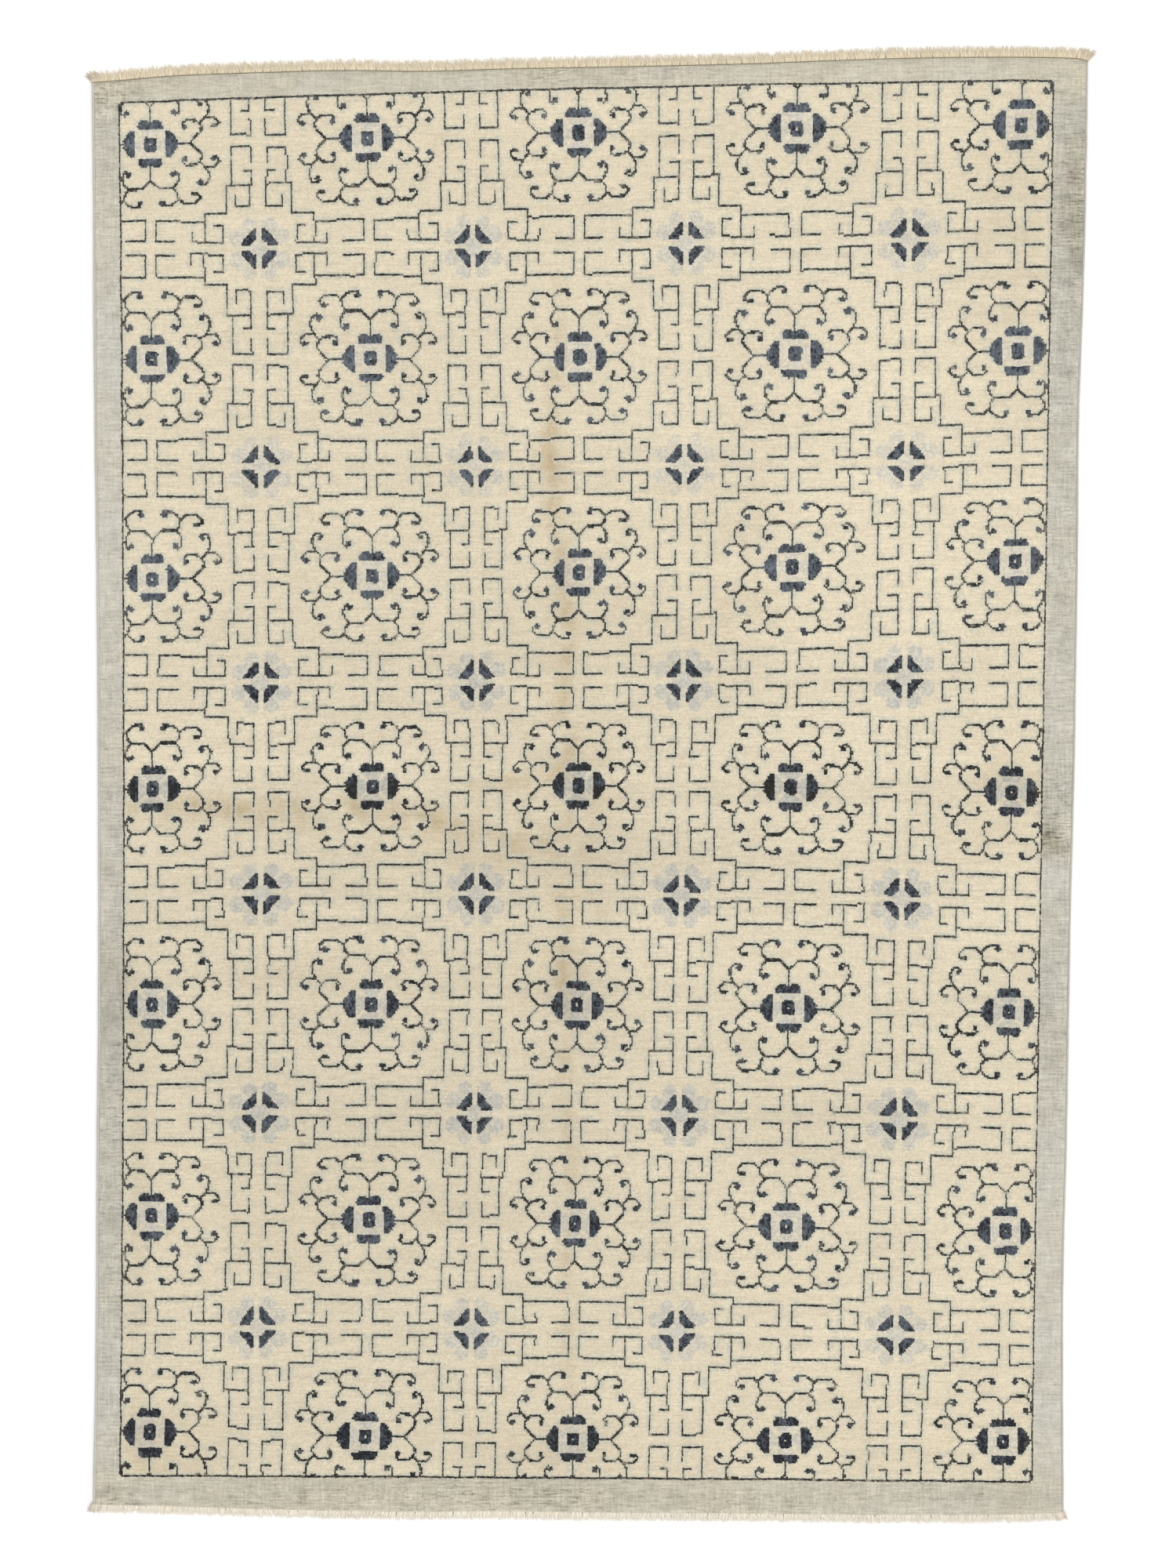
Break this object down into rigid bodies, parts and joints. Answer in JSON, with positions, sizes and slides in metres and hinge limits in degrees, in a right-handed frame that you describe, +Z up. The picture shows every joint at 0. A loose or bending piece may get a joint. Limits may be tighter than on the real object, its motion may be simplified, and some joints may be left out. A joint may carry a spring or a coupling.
{
  "type": "kazak rug",
  "caption": "Flat hand-knotted wool rug with an allover lattice, a plain border, overcast sides and a short cotton fringe at each end.",
  "frame": {"origin": "centre of the whole rug's box, on the floor that it lies on", "axes": "+X across the rug, +Y along it towards its upper end, +Z up out of the pile"},
  "size_m": [1.8918, 2.7716, 0.009],
  "materials": {
    "pile_wool": "short clipped wool pile, ivory, navy and grey, matt",
    "border_wool": "overcast grey wool cord, matt",
    "warp_cotton": "cream cotton warp ends, matt"
  },
  "bodies": {
    "root": {"rug_body": "pile_wool", "selvage_left": "border_wool", "selvage_right": "border_wool", "fringe_lower": "warp_cotton", "fringe_upper": "warp_cotton"}
  },
  "joints": []
}
